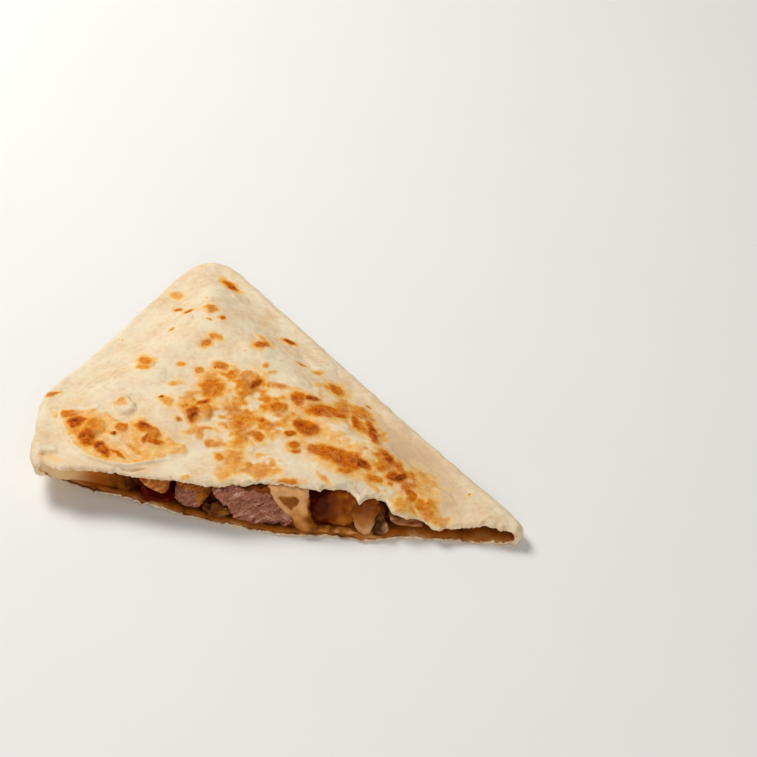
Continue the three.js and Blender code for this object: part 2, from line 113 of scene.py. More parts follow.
# Toasted marks on the top, one of them partly painted shade: x, y, half length, half width, turn, darkness
# from a tan tint to nearly burnt.
TOAST_AND_SHADE_MARKS = [
    # the big blister at the left
    (-76.6, -36.4, 4.2, 2.4, -25, 0.6), (-72.6, -40.5, 4.2, 2.4, -5, 0.82),
    (-73.8, -42, 1.5, 1.1, -31, 0.9), (-67.6, -49.4, 5.6, 3.4, -57, 0.8),
    (-66.9, -51.2, 2.8, 1.8, -57, 0.88), (-66, -45, 5, 4, -68, 0.52), (-61.6, -54.8, 6, 2.3, -44, 0.8),
    (-60, -56.2, 2.3, 1.4, -59, 0.88), (-55, -58.2, 4.2, 0.7, -43, 0.76),
    (-55.5, -44.5, 3.3, 2.5, -47, 0.6), (-58.2, -48.4, 1.3, 0.9, 36, 0.95),
    (-47.6, -43.8, 4.2, 2.7, -50, 0.84), (-43.8, -48.4, 4.8, 3.3, -55, 0.56),
    (-46.1, -50.4, 2.6, 1.1, 84, 0.76), (-42.3, -51.4, 3, 1.2, 11, 0.74),
    (-70.4, -46.8, 7.5, 3.4, -53, 0.46), (-51.3, -54.7, 5.6, 2, -41, 0.4),
    # scattered spots between it and the middle
    (-52, -6, 4.2, 2.8, -61, 0.52), (-52, -11, 3.7, 1.8, -14, 0.42), (-38, -8, 1.8, 1.6, 0, 0.46),
    (-31, -11, 2.6, 2.1, -60, 0.5), (-39, -19, 3.4, 2, 2, 0.34), (-41, -29, 3.6, 2.2, -46, 0.4),
    (-43, -27, 0.7, 0.6, 0, 1.1), (-58, -30.6, 3.6, 2.8, -5, 0.27), (-25, -21, 6.9, 5, -69, 0.62),
    (-30.6, -36, 4.2, 2.2, -80, 0.9), (-27.6, -29.8, 4, 1.7, 44, 0.8), (-26.2, -34.2, 4.4, 3.6, 88, 0.46),
    (-34, -32, 2.2, 1.4, 0, 0.55), (-36, -39, 1.7, 1.3, -81, 0.6), (-26, -43, 5.9, 1.1, -1, 0.38),
    # (-79, -59.4) tints the dimple at the front left corner tan, set onto its left wall: partly its own tan,
    # partly painted shade.
    (-84, -23, 3.1, 1.2, 35, 0.55), (-79, -59.4, 5, 3.8, -20, 0.15), (-23, -8, 3, 1.9, -40, 0.62),
    (-25, -9, 0.7, 0.5, 0, 1), (-19, -12, 2.1, 1.6, -65, 0.62), (-22, -50, 3.3, 1.9, -17, 0.5),
    (-13, -61, 4.7, 4.6, -76, 0.34), (-30, -68, 1.7, 1.1, 3, 0.34), (-60, -9, 1, 0.5, 0, 0.35),
    (-64, 13, 1.1, 0.8, 0, 0.22), (-66, 5, 1, 0.6, 0, 0.22), (-71, 1, 1.1, 0.7, 0, 0.22),
    (-75, 2, 3.9, 0.6, 53, 0.28), (-75, -27, 3.9, 1.1, -29, 0.16),
    # the middle
    (-12.6, -15, 4.6, 4, 55, 0.42), (-9.4, -17.6, 4.2, 1.2, 52, 0.85), (-15, -18, 3.7, 1.2, -8, 0.5),
    (0, -17, 3.8, 1.9, -5, 0.5), (0, -29, 4, 3.3, 1, 0.62), (7, -23, 4.6, 2.9, -76, 0.72),
    (12, -22, 2.5, 2, -4, 0.9), (18, -28, 9.4, 4.3, 6, 0.66), (14, -29, 3.8, 2.1, 23, 0.78),
    (22, -29, 3.7, 2.4, 14, 0.72), (-12, -38, 6.8, 4.7, 39, 0.5), (-14, -40, 2.4, 2.1, -84, 0.62),
    (-6, -37, 1.2, 1.1, 1, 0.8), (-6, -45, 2.7, 2.1, -76, 0.66), (11, -38, 5.7, 3.6, -23, 0.78),
    (7, -37, 1.7, 1.5, 61, 0.84), (5, -42, 2.7, 1.6, 23, 0.82), (7, -48, 2.2, 2.1, 39, 0.72),
    (8, -51, 2.2, 1.3, 6, 0.72), (14, -49, 2.8, 2, -70, 0.7), (19, -50.8, 6, 4.5, -32, 0.7),
    (26.5, -54, 6.7, 5.2, -16, 0.74), (32, -54.6, 3.6, 2.6, -10, 0.84), (26, -59, 3.7, 2, 20, 0.62),
    (-23, -18, 7.9, 6, -72, 0.22), (-14, -58, 5, 3.8, 5, 0.4), (-19, -57, 1.8, 1.8, -56, 0.56),
    (-7, -63, 3.5, 2.9, 3, 0.38), (-13, -51, 2.6, 1.4, 6, 0.34), (-17, -64, 4.9, 3.5, -83, 0.3),
    (6, -67, 4.4, 1.5, 1, 0.55), (18, -64, 4.6, 1.2, -43, 0.36),
    # the streaks towards the right tip
    (29, -30, 6.4, 1.7, -76, 0.72), (35, -34, 9.1, 2, -78, 0.82), (33, -28, 3.6, 1.4, -86, 0.6),
    (41, -50, 5, 2.2, -56, 0.82), (44, -57, 3.5, 2.6, -8, 0.9), (47, -56, 1.8, 1.3, 73, 1.02),
    (37, -60, 3.4, 2.1, 1, 0.6), (42, -61, 1.3, 1, 6, 0.6), (50, -64, 3, 2, -36, 0.72),
    (54, -67, 2.6, 2.4, -24, 0.52), (47, -69, 4.5, 3.5, 51, 0.36), (54, -57, 8.7, 7.4, -80, 0.32),
    (58, -62, 6.5, 3.2, -67, 0.26), (61, -71.6, 4.2, 2, 10, 0.34), (33, -48, 1.4, 1.2, -6, 0.4),
    (38, -49, 2.4, 1.1, -79, 0.5), (24, -19, 4, 2.4, 32, 0.42),
]

# Wide patchy tints round the marks, in the same terms.
TINTS = [
    (-14, -38, 20, 13, 20, 0.42), (20, -42, 25, 14, -30, 0.22), (-10, -60, 14, 8, 0, 0.36),
    (45, -60, 18, 9, -40, 0.5), (-14, -20, 17, 11, -20, 0.42), (30, -26, 15, 8, -50, 0.44),
    (-28, -30, 9, 8, 0, 0.34), (4, -30, 14, 12, 0, 0.36),
]

# Where the top has tanned evenly: x, y, half length, half width, turn, strength.
TANNED = [(48, -40, 25, 13, -50, 0.75), (57, -63, 17, 10, -40, 0.6), (-70, -62, 16, 4, -4, 0.35)]

# Bits that hang out of the cut edges: x, length, half width.
TOP_TEARS = [
    (-22.5, 0.7, 1.1), (-9, 0.5, 0.9), (17.5, 0.8, 1), (31.8, 0.9, 0.9), (38.4, 0.6, 0.7), (49, 0.7, 1.2),
]
BOTTOM_TEARS = [
    (-63.6, 1.3, 0.8), (-67, 0.7, 1.6), (-46.2, 1, 0.8), (-30, 0.6, 0.7), (26, 0.5, 1.6), (32.8, 0.5, 1.2),
]

# How far the filling has soaked the lower layer's cut edge, along x.
LOWER_EDGE_SOAKED = [
    (-84, 0.1), (-77, 0.8), (-64, 0.85), (-58, 0.45), (-51, 0.26), (-44, 0.3), (-32, 0.3), (-20, 0.28),
    (-6, 0.36), (8, 0.44), (16, 0.28), (30, 0.36), (40, 0.2), (66, 0.25), (86, 0),
]

# How far the front of the soft core stands back from its node's form, along x: it fills the gaps between
# pieces on the left and keeps clear of the cheese that hangs in front of it.
CORE_SHIFT = [(-40, -0.5), (-10, -0.5), (-5, 0.9), (16, 0.9), (20, -0.3), (25, -0.3), (30, 1.5), (40, 1.5)]

# Fineness of the tortilla's mesh: cells across, front to back outside and inside, round the fold, and over a
# cut edge. Then steps along the rim and round a corner of the plan, and cells of the side flap.
ACROSS, DEEP, INNER_DEEP, ROUND, EDGE = 290, 170, 16, 12, 5
RIM_STEPS, CORNER_STEPS, FLAP_ACROSS, FLAP_TALL = 240, 32, 110, 26
BACK_CORNER, APEX_CORNER = 0.235, 0.455  # shares of the fold's length where the faces' grids have corners
EASING_ROUNDS = 60  # how often the top face is eased out behind its lip
NUDGE = 0.0015  # share of the fold's length over which its direction is taken

# Fineness in mm of the skins round pieces of filling, the core, melted things and threads, and of bead rows.
PIECE_SKIN, CORE_SKIN, MELTED_SKIN, THREAD_SKIN, BEAD_STEP = 0.33, 0.85, 0.3, 0.2, 0.35
SHEET_STEP = 0.4  # distance between the rows of beads in a hanging sheet
BUMP_FILTER = 0.1  # how widely a fine relief is sampled, in pixels

# The camera: its place in metres, how it looks down and leans, and its lens and film width in mm.
CAMERA_PLACE = (0.035288, -0.553754, 0.539306)
CAMERA_TILT, CAMERA_ROLL = math.radians(43.564), math.radians(3.118)
LENS, FILM = 96.25, 36
FLOOR_REACH = 4  # metres from the middle of the floor to its sides
SKY_LIGHT, SKY_COLOUR = 0.27, (1, 0.98, 0.95, 1)


# ---- curves and fields
def smooth(t):
    t = np.clip(t, 0, 1)
    return t * t * (3 - 2 * t)


def mix(a, b, t):
    return a + (b - a) * t


def along(stations, x):
    """The smooth curve through stations of x and value, level beyond both ends."""
    at, value = np.array(stations, float).T
    slope = np.zeros_like(value)
    slope[1:-1] = (value[2:] - value[:-2]) / (at[2:] - at[:-2])
    x = np.clip(x, at[0], at[-1])
    i = np.clip(np.searchsorted(at, x, side="right") - 1, 0, len(at) - 2)
    span = at[i + 1] - at[i]
    t = (x - at[i]) / span
    level = mix(value[i], value[i + 1], t * t * (3 - 2 * t))
    return level + span * t * (1 - t) * (slope[i] * (1 - t) - slope[i + 1] * t)


def fold_line():
    """The fold's outermost line, as a path through its rounded corners."""
    corners = np.array(FOLD_CORNERS)
    points = [corners[0, :2]]
    for before, corner, after in zip(corners, corners[1:], corners[2:]):
        ends = []
        for other in (before, after):
            way = other[:2] - corner[:2]
            ends.append(corner[:2] + corner[2] * way / np.linalg.norm(way))
        for t in np.linspace(0, 1, CORNER_STEPS + 1):
            points.append((1 - t) ** 2 * ends[0] + 2 * t * (1 - t) * corner[:2] + t * t * ends[1])
    points.append(corners[-1, :2])
    return np.array(points)


FOLD = fold_line()
FOLD_WAY = np.concatenate([[0], np.cumsum(np.linalg.norm(np.diff(FOLD, axis=0), axis=1))])


def on_fold(share):
    way = share * FOLD_WAY[-1]
    return np.stack([np.interp(way, FOLD_WAY, FOLD[:, axis]) for axis in (0, 1)], -1)


def rim(share):
    """Points on the edge of the flat of the wedge at shares of the fold, and the outward normals there."""
    share = np.asarray(share, float)
    ahead = on_fold(np.minimum(share + NUDGE, 1)) - on_fold(np.maximum(share - NUDGE, 0))
    ahead /= np.linalg.norm(ahead, axis=-1, keepdims=True)
    outward = np.stack([-ahead[..., 1], ahead[..., 0]], -1)
    return on_fold(share) - FOLD_REACH * outward, outward


RIM = rim(np.linspace(0, 1, RIM_STEPS + 1))[0]


def nearest(x, y, line):
    """Distance from points to a line through corners, and the nearest place on it, counted in segments."""
    best, place = np.full(np.shape(x), np.inf), np.zeros(np.shape(x))
    for i, (a, b) in enumerate(zip(line, line[1:])):
        way = b - a
        t = np.clip(((x - a[0]) * way[0] + (y - a[1]) * way[1]) / (way @ way), 0, 1)
        distance = np.hypot(x - a[0] - t * way[0], y - a[1] - t * way[1])
        closer = distance < best
        best, place = np.where(closer, distance, best), np.where(closer, i + t, place)
    return best, place


def nearest_rim(x, y):
    """Distance from plan points to the rim, and the share of the fold where it is nearest."""
    distance, place = nearest(x, y, RIM)
    return distance, place / RIM_STEPS


def within(x, y, outline):
    """Whether points lie inside a closed outline, and how far they are from it."""
    line = np.array([*outline, outline[0]], float)
    inside = np.zeros(len(x), bool)
    for (ax, ay), (bx, by) in zip(line, line[1:]):
        inside ^= ((ay > y) != (by > y)) & (x < ax + (bx - ax) * (y - ay) / (by - ay + 1e-9))
    return inside, nearest(x, y, line)[0]


def top_lip(x):
    return along([tuple(RIM[0]), *TOP_LIP, tuple(RIM[-1])], x)


def bottom_lip(x):
    return along([tuple(RIM[0]), *BOTTOM_LIP, tuple(RIM[-1])], x)


def curl(x, y):
    """How far the lower face lies off the surface."""
    towards = x * math.cos(CURL_TURN) + y * math.sin(CURL_TURN)
    return CURL_HEIGHT * np.clip((towards - CURL_START) / (CURL_END - CURL_START), 0, 1) ** 1.7


def lumps(x, y):
    return 0.7 * np.sin(x / 10.5 + 1.1) * np.cos(y / 12 + 0.5) + 0.45 * np.sin(x / 6.3 - y / 7.1 + 2.4)


def top_face(x, y):
    distance, share = nearest_rim(x, y)
    climb = 1 - np.exp(-((distance / FILL_SLOPE) ** 2))
    filled = mix(along(FOLD_HEIGHT, share), FILL_TOP + lumps(x, y), climb)
    behind = smooth((y - top_lip(x)) / CUT_BLEND)
    return curl(x, y) + mix(along(CUT_HEIGHT, x), filled, behind)


def rough(points, size, seed):
    """Smooth noise between -1 and 1, with lumps of about `size` mm. `size` may differ by axis."""
    scaled = np.asarray(points, float) / size + (seed * 7.31, seed * 3.77, seed * 5.13)
    return np.array([noise.noise(Vector(p)) for p in scaled])


def layered(points, *layers):
    """Noise in layers: for each the share, the size in mm and the seed."""
    return sum(share * rough(points, size, seed) for share, size, seed in layers)


def flat(x, y, z=0.0):
    """Plan positions as a list of points at one height."""
    return np.stack([np.ravel(part) for part in np.broadcast_arrays(x, y, float(z))], -1)


def oval(x, y, mark):
    """Distance of plan points from the middle of an oval mark, in which its outline is at 1."""
    cx, cy, rx, ry, turn = mark[:5]
    c, s = math.cos(math.radians(turn)), math.sin(math.radians(turn))
    return np.hypot(((x - cx) * c + (y - cy) * s) / rx, ((y - cy) * c - (x - cx) * s) / ry)


def wandering(x, y, seed):
    """Plan points moved a little by noise, so that no oval drawn on them has a perfect outline."""
    spots = flat(x, y, seed)
    drift = [layered(spots, (0.9, 5.5, k + seed), (0.7, 2.6, k + 1 + seed)) for k in (1, 4)]
    return np.ravel(x) + drift[0], np.ravel(y) + drift[1]


def in_big_blister(x, y):
    """How far plan points lie inside the big blister's outline, mm, and how crisp its rim is near them: most
    at its front left."""
    x, y = np.ravel(x), np.ravel(y)
    inside, gap = within(x, y, BIG_BLISTER)
    crisp = smooth((0.55 - 0.066 * (y + 48) - 0.049 * (x + 56)) / 0.7)
    spots = flat(x, y)
    wavy = layered(spots, (0.5, 7, 21), (0.2, 2.2, 22))
    loose = layered(spots, (2.4, 4.5, 24), (1.3, 1.8, 25))
    return np.where(inside, gap, -gap) + wavy + (1 - crisp) * loose, crisp


def toasting(x, y, marks, tints, seed):
    """How dark each plan point has toasted: marks with a halo round each, over patchy tints."""
    x, y = wandering(x, y, seed)
    spots = flat(x, y, seed)
    patchy = smooth(0.5 + 1.1 * layered(spots, (1.1, 6.5, 12), (0.8, 2.8, 13), (0.25, 1.6, 14)))
    toast, faint = np.zeros(len(x)), np.zeros(len(x))
    for mark in marks:
        far = oval(x, y, mark)
        toast = np.maximum(toast, mark[5] * smooth((1.45 - far) / 0.95))
        faint = np.maximum(faint, 0.38 * mark[5] * smooth((2.5 - far) / 1.6))
    for tint in tints:
        faint = np.maximum(faint, tint[5] * smooth((1.35 - oval(x, y, tint)) / 0.7) * (0.28 + 0.9 * patchy))
    return np.maximum(toast, faint)


def random_marks(seed, count, keep, sizes, low, high):
    """Ovals of random sizes and darkness on the part of the plan that `keep` accepts."""
    random = np.random.default_rng(seed)
    marks = []
    while len(marks) < count:
        x, y = random.uniform(*PLAN_WIDE), random.uniform(*PLAN_DEEP)
        size = random.choice(sizes) * random.uniform(0.8, 1.25)
        slim, turn, dark = random.uniform(0.4, 0.85), random.uniform(-80, 80), random.uniform(low, high)
        if keep(x, y):
            marks.append((x, y, size, size * slim, turn, dark))
    return marks


def blisters(x, y):
    deep, crisp = in_big_blister(x, y)
    height = 0.9 * smooth((deep + 0.5) / mix(5, 1.6, crisp))
    height += 0.5 * crisp * np.exp(-(((deep - 0.2) / 0.5) ** 2))
    height += smooth((deep - 1) / 3) * layered(flat(x, y), (0.6, 7, 23), (0.25, 3, 24))
    height += 0.6 * smooth(1.2 * (1 - oval(np.ravel(x), np.ravel(y), PALE_RIDGE) ** 2))
    x, y = wandering(x, y, 0)
    for blister in BLISTERS:
        height = np.maximum(height, blister[5] * smooth(1.3 * (1 - oval(x, y, blister) ** 2)))
    for bubble in BUBBLES:
        height += bubble[5] * smooth(1.8 * (1 - oval(x, y, bubble) ** 2))
    return height


def crust_relief(x, y, toast):
    """The top's own relief: blisters, waves, thin creases, and the raised grain of the toasted marks."""
    spots = flat(x, y)
    wave = layered(spots, (0.42, 14, 1), (0.3, 5.5, 2), (0.14, 2.2, 3), (0.06, 0.9, 7))
    crease = smooth(1 - np.abs(rough(spots, (11, 8, 9), 5)) / 0.09) * smooth(rough(spots, 16, 6) * 3)
    grain = toast * (0.22 + 0.3 * rough(spots, 1.5, 4))
    return blisters(x, y) + wave + 0.3 * crease + grain


# ---- making meshes
def placed(name, data):
    """A new object in the scene."""
    made = bpy.data.objects.new(name, data)
    bpy.context.scene.collection.objects.link(made)
    return made


def piece(name, points, faces, finish, slot, stands_for, **fields):
    """A closed mesh from points in mm and lists of faces, with fields of values per point that its finish
    reads."""
    faces = [face for group in faces for face in group]
    used = np.unique(np.concatenate(faces))
    place = np.zeros(len(points), int)
    place[used] = np.arange(len(used))
    metres = (np.asarray(points, float)[used] - (*CENTRE, 0)) / 1000
    metres[:, 2] = np.maximum(metres[:, 2], 0)
    mesh = bpy.data.meshes.new(name)
    mesh.from_pydata(metres.tolist(), [], [tuple(place[list(face)].tolist()) for face in faces])
    work = bmesh.new()
    work.from_mesh(mesh)
    bmesh.ops.recalc_face_normals(work, faces=work.faces)
    work.to_mesh(mesh)
    work.free()
    mesh.shade_smooth()
    for field, values in fields.items():
        attribute = mesh.attributes.new(field, "FLOAT", "POINT")
        attribute.data.foreach_set("value", np.asarray(values, np.float32)[used])
    mesh.materials.append(finish.material)
    made = placed(name, mesh)
    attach(made, "root")
    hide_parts(*stands_for)


def skinned(mesh, voxel, rounds):
    """A fine even skin round a closed mesh: its points in mm, faces and normals."""
    form = placed("form", mesh)
    remesh = form.modifiers.new("skin", "REMESH")
    remesh.mode = "VOXEL"
    remesh.voxel_size = voxel / 1000
    soften = form.modifiers.new("soften", "SMOOTH")
    soften.iterations = rounds
    bpy.context.view_layer.update()
    fine = bpy.data.meshes.new_from_object(form.evaluated_get(bpy.context.evaluated_depsgraph_get()))
    points = np.array([v.co[:] for v in fine.vertices]) * 1000 + (*CENTRE, 0)
    normals = np.array([v.normal[:] for v in fine.vertices])
    faces = [tuple(polygon.vertices) for polygon in fine.polygons]
    bpy.data.objects.remove(form)
    bpy.data.meshes.remove(fine)
    return points, faces, normals


def skinned_node(node, voxel, rounds, plug=()):
    """The skin round a node's form. Runs of beads may plug a gap in it."""
    form = bmesh.new()
    form.from_mesh(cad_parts[node].data)
    if plug:
        form.from_mesh(beads(plug))
    mesh = bpy.data.meshes.new("form")
    form.to_mesh(mesh)
    form.free()
    return skinned(mesh, voxel, rounds)


def beads(runs):
    """One mesh of round beads along runs, each a list of stations: x, y, z, radius. A skin joins them."""
    work = bmesh.new()
    bmesh.ops.create_icosphere(work, subdivisions=2, radius=1)
    ball = np.array([v.co[:] for v in work.verts])
    ball_faces = np.array([[v.index for v in face.verts] for face in work.faces])
    work.free()
    rows = []
    for run in runs:
        stations = np.array(run, float)
        steps = max(2, int(np.abs(np.diff(stations, axis=0)).sum() / BEAD_STEP))
        t = np.linspace(0, len(stations) - 1, steps)
        rows.append(np.stack([along(list(enumerate(stations[:, axis])), t) for axis in range(4)], -1))
    rows = np.concatenate(rows)
    points = (rows[:, None, :3] - (*CENTRE, 0) + rows[:, None, 3:] * ball) / 1000
    faces = np.arange(len(rows))[:, None, None] * len(ball) + ball_faces
    mesh = bpy.data.meshes.new("beads")
    mesh.from_pydata(points.reshape(-1, 3).tolist(), [], faces.reshape(-1, 3).tolist())
    return mesh


# ---- finishes
def hue(red, green, blue):
    """A colour from its red, green and blue on the usual screen scale of 0 to 255."""
    linear = [c / 255 / 12.92 if c <= 10 else ((c / 255 + 0.055) / 1.055) ** 2.4 for c in (red, green, blue)]
    return (*linear, 1.0)


def arithmetic(operation, reflected=False):
    def method(self, other):
        values = (other, self) if reflected else (self, other)
        return self.finish.node("Math", {"operation": operation}, values)

    return method


class Channel:
    """A socket of a finish. Arithmetic on it adds Math nodes."""

    def __init__(self, finish, socket):
        self.finish, self.socket = finish, socket

    __add__ = __radd__ = arithmetic("ADD")
    __mul__ = __rmul__ = arithmetic("MULTIPLY")
    __sub__, __rsub__ = arithmetic("SUBTRACT"), arithmetic("SUBTRACT", reflected=True)

    def between(self, low, high):
        """0 up to low, 1 from high, and smooth between."""
        return self.finish.node("MapRange", {"interpolation_type": "SMOOTHSTEP"}, (self, low, high, 0.0, 1.0))


class Finish:
    """A finish made from nodes round one Principled shader. Settings are the same all over the surface."""

    def __init__(self, name, settings):
        self.material = bpy.data.materials.new(name)
        self.material.use_nodes = True
        self.tree = self.material.node_tree
        self.shader = self.tree.nodes["Principled BSDF"]
        for socket, value in settings.items():
            self.shader.inputs[socket].default_value = value
        self.place = self.node("TexCoord", output="Object")

    def node(self, kind, settings=None, values=(), output=None):
        """A node of a kind, its settings, then the values or links of its sockets in order."""
        made = self.tree.nodes.new("ShaderNode" + kind)
        for setting, value in (settings or {}).items():
            if setting == "stops":
                while len(made.color_ramp.elements) < len(value):
                    made.color_ramp.elements.new(1.0)
                for element, (at, colour) in zip(made.color_ramp.elements, value):
                    element.position, element.color = at, colour
            else:
                setattr(made, setting, value)
        for socket, value in zip([socket for socket in made.inputs if socket.enabled], values):
            if isinstance(value, Channel):
                self.tree.links.new(value.socket, socket)
            else:
                socket.default_value = value
        shown = [socket for socket in made.outputs if socket.enabled]
        return Channel(self, made.outputs[output] if output else shown[0])

    def field(self, name):
        return self.node("Attribute", {"attribute_name": name}, output="Fac")

    def grain(self, size, detail=4.0, roughness=0.55):
        """Noise about 0.5, with lumps of about `size` mm."""
        return self.node("TexNoise", {}, (self.place, 1000 / size, detail, roughness))

    def blend(self, low, high, share):
        return self.node("Mix", {"data_type": "RGBA"}, (share, low, high))

    def coated(self, colour, *coats):
        """A colour under coats of others, each as strong as its own share."""
        for coat, share in coats:
            colour = self.blend(colour, coat, share)
        return colour

    def ramp(self, value, *stops):
        return self.node("ValToRGB", {"stops": [(at, hue(*colour)) for at, colour in stops]}, (value,))

    def bump(self, height, depth, *under):
        """Relief of a depth in mm, which may lie on the normals of another."""
        return self.node("Bump", {}, (1.0, depth / 1000, BUMP_FILTER, height, *under))

    def finish(self, **channels):
        for name, channel in channels.items():
            self.tree.links.new(channel.socket, self.shader.inputs[name.replace("_", " ").title()])
        return self


def toasted_flatbread():
    bread = Finish(
        "toasted_flatbread",
        {"Subsurface Weight": 0.05, "Subsurface Scale": 0.0015, "Specular IOR Level": 0.06},
    )
    cloud, mottle, speck = bread.grain(12, 4, 0.6), bread.grain(2.2, 6, 0.62), bread.grain(0.55, 4, 0.7)
    pink = bread.grain(8, 3)
    heat = bread.field("toast")
    heat = heat * (1 + (mottle - 0.5) * 1.25 + (speck - 0.5) * 0.3) + (mottle - 0.5) * 0.2
    crust = bread.ramp(
        heat,
        (0, (242, 222, 186)), (0.11, (244, 212, 160)), (0.22, (243, 194, 122)), (0.35, (240, 170, 76)),
        (0.5, (232, 142, 36)), (0.66, (216, 114, 12)), (0.82, (190, 88, 2)), (0.93, (158, 66, 2)),
        (1, (122, 46, 2)),
    )
    rosy = bread.ramp(
        heat,
        (0, (242, 222, 190)), (0.15, (238, 202, 156)), (0.35, (226, 164, 104)), (0.55, (208, 130, 66)),
        (0.75, (180, 92, 26)), (1, (104, 36, 4)),
    )
    inner, cut, sauce = bread.field("inner"), bread.field("cut"), bread.field("sauce")
    soaked = sauce * (0.95 + (mottle - 0.5) * 0.8)
    cut_face = bread.blend(hue(246, 222, 186), hue(226, 182, 130), mottle.between(0.4, 0.7))
    colour = bread.coated(
        hue(240, 222, 188),
        (hue(227, 190, 144), (cloud * 0.6 + mottle * 0.4).between(0.38, 0.7)),
        (hue(230, 209, 188), pink.between(0.52, 0.66) * 0.4),
        (hue(222, 182, 138), bread.field("tanned")),
        (hue(208, 166, 120), speck.between(0.6, 0.8) * 0.4),
        (hue(116, 80, 44), bread.grain(0.8, 2).between(0.7, 0.76) * 0.6),
        (bread.blend(crust, rosy, pink.between(0.46, 0.6) * 0.55), heat.between(0.05, 0.2)),
        (hue(228, 182, 118), inner),
        (cut_face, cut),
        (bread.blend(hue(174, 94, 20), hue(158, 104, 62), cut), soaked.between(0, 0.5)),
        (hue(78, 30, 0), soaked.between(0.45, 0.95)),
    )
    rise = heat.between(0.2, 0.8) * 0.4 + mottle * 0.6
    normal = bread.bump(speck, 0.16, bread.bump(rise, 0.4))
    return bread.finish(base_color=colour, roughness=0.7 - heat * 0.16 - soaked * 0.3, normal=normal)


# What all moist food shares: light that sinks in a little, and a warm sheen.
MOIST = {"Subsurface Weight": 0.1, "Subsurface Scale": 0.0012, "Specular Tint": (1.0, 0.74, 0.46, 1.0)}


def moist(name, dark, middle, light, shine, size, field, gloss, depth=0.25):
    """A moist piece of filling, from its dark to its light colour by grain or by a field of its own."""
    food = Finish(name, {**MOIST, "Specular IOR Level": shine})
    broad, fine = food.grain(size, 4), food.grain(size / 5, 4, 0.65)
    tone = broad * 0.75 + fine * 0.25
    if field:
        tone = food.field(field) * 0.75 + tone * 0.25
    colour = food.ramp(tone, (0.2, dark), (0.5, middle), (0.8, light))
    normal = food.bump(fine, depth / 3, food.bump(broad, depth))
    return food.finish(base_color=colour, roughness=gloss + (fine - 0.5) * 0.3, normal=normal)


def fibrous_meat(name, pink, pale, brown, glaze, spotted):
    meat = Finish(name, {**MOIST, "Specular IOR Level": 0.2})
    fine, broad = meat.grain(0.7, 4, 0.7), meat.grain(4, 3)
    strand = meat.field("fibre") * 0.7 + fine * 0.3
    colour = meat.ramp(strand, (0.24, brown), (0.42, pink), (0.53, pink), (0.72, pale))
    colour = meat.coated(
        colour,
        (hue(*pale), fine.between(0.5, 0.7) * 0.5),
        (
            meat.blend(hue(*glaze), hue(*brown), broad.between(0.4, 0.7) * spotted),
            (meat.field("sear") + (broad - 0.5) * 0.5).between(0.25, 0.75),
        ),
        (hue(104, 56, 22), meat.field("stain") * 0.8),
    )
    normal = meat.bump(fine, 0.35, meat.bump(strand, 0.9))
    return meat.finish(base_color=colour, roughness=0.3 + fine * 0.3, normal=normal)


FLATBREAD = toasted_flatbread()
CHEESE = moist("melted_cheese", (132, 66, 2), (196, 124, 54), (223, 165, 108), 0.2, 4.0, "glaze", 0.3)
SAUCE = moist("dark_filling_sauce", (48, 10, 0), (104, 44, 2), (168, 96, 16), 0.15, 3.4, None, 0.3, 0.6)
CHICKEN = moist("chicken", (138, 66, 14), (180, 100, 40), (220, 154, 90), 0.15, 3.0, "fibre", 0.35)
PEPPER = moist("roast_red_pepper", (50, 3, 0), (84, 9, 0), (122, 24, 2), 0.08, 2.6, None, 0.25)
SOFT_ONION = moist("soft_onion", (56, 26, 6), (112, 68, 34), (204, 152, 108), 0.12, 2.2, "fibre", 0.3)
BROWNED_ONION = moist("browned_onion", (56, 20, 0), (108, 54, 12), (162, 100, 44), 0.15, 2.0, "fibre", 0.25)
ROAST = moist("roasted_chunk", (76, 15, 0), (126, 52, 4), (178, 104, 28), 0.12, 3.0, "glaze", 0.25)
CARAMEL = moist("caramelled_onion", (80, 18, 0), (134, 62, 10), (190, 120, 50), 0.15, 2.4, "glaze", 0.25)
AMBER = moist("glassy_onion", (130, 60, 4), (182, 110, 46), (228, 174, 126), 0.18, 2.4, "glaze", 0.22)
HAM = moist("ham", (134, 68, 32), (174, 106, 64), (206, 148, 106), 0.13, 2.4, "fibre", 0.35)
MEAT = fibrous_meat("pulled_meat", (182, 110, 87), (238, 184, 160), (92, 40, 20), (142, 70, 14), 0.5)
FATTY_MEAT = fibrous_meat("meat_with_fat", (164, 98, 74), (212, 154, 128), (116, 54, 0), (198, 116, 40), 0.7)


# ---- the tortilla
def torn(lip, seed, tears):
    """A lip's line as a knife tears it: its edge wavers, and at some places a bit of it hangs out."""

    def line(x):
        at = flat(x, 0, seed)
        crumbs = 1.5 * np.abs(rough(at, 1.7, seed + 1)) ** 1.5 - 0.3
        bits = sum(out * np.exp(-(((x - middle) / wide) ** 2)) for middle, out, wide in tears)
        return lip(x) + layered(at, (0.5, 3.1, seed), (0.25, 0.8, seed + 2)) + crumbs - bits

    return line


def face_plan(lip, rows):
    """The plan of one face, a grid blended from its four sides, with the outward normals round it. Its rows
    lie closer together towards the cut."""
    a = np.linspace(0, 1, ACROSS + 1)
    b = np.linspace(0, 1, rows + 1)
    b = 0.6 * b + 0.4 * b * b
    left, right = rim(BACK_CORNER * b), rim(mix(1, APEX_CORNER, b))
    back = rim(mix(BACK_CORNER, APEX_CORNER, a))
    x = mix(RIM[0, 0], RIM[-1, 0], a)
    front = np.stack([x, lip(x)], -1)
    front[0], front[-1] = RIM[0], RIM[-1]
    across, deep = a[None, :, None], b[:, None, None]
    near, far = (mix(left[0][end], right[0][end], across) for end in (0, -1))
    plan = mix(front, back[0], deep) + mix(left[0][:, None], right[0][:, None], across) - mix(near, far, deep)
    return plan, np.concatenate([left[1][:-1], back[1][:-1], right[1][::-1]])


def numbered(start, *shape):
    return start + np.arange(math.prod(shape)).reshape(shape)


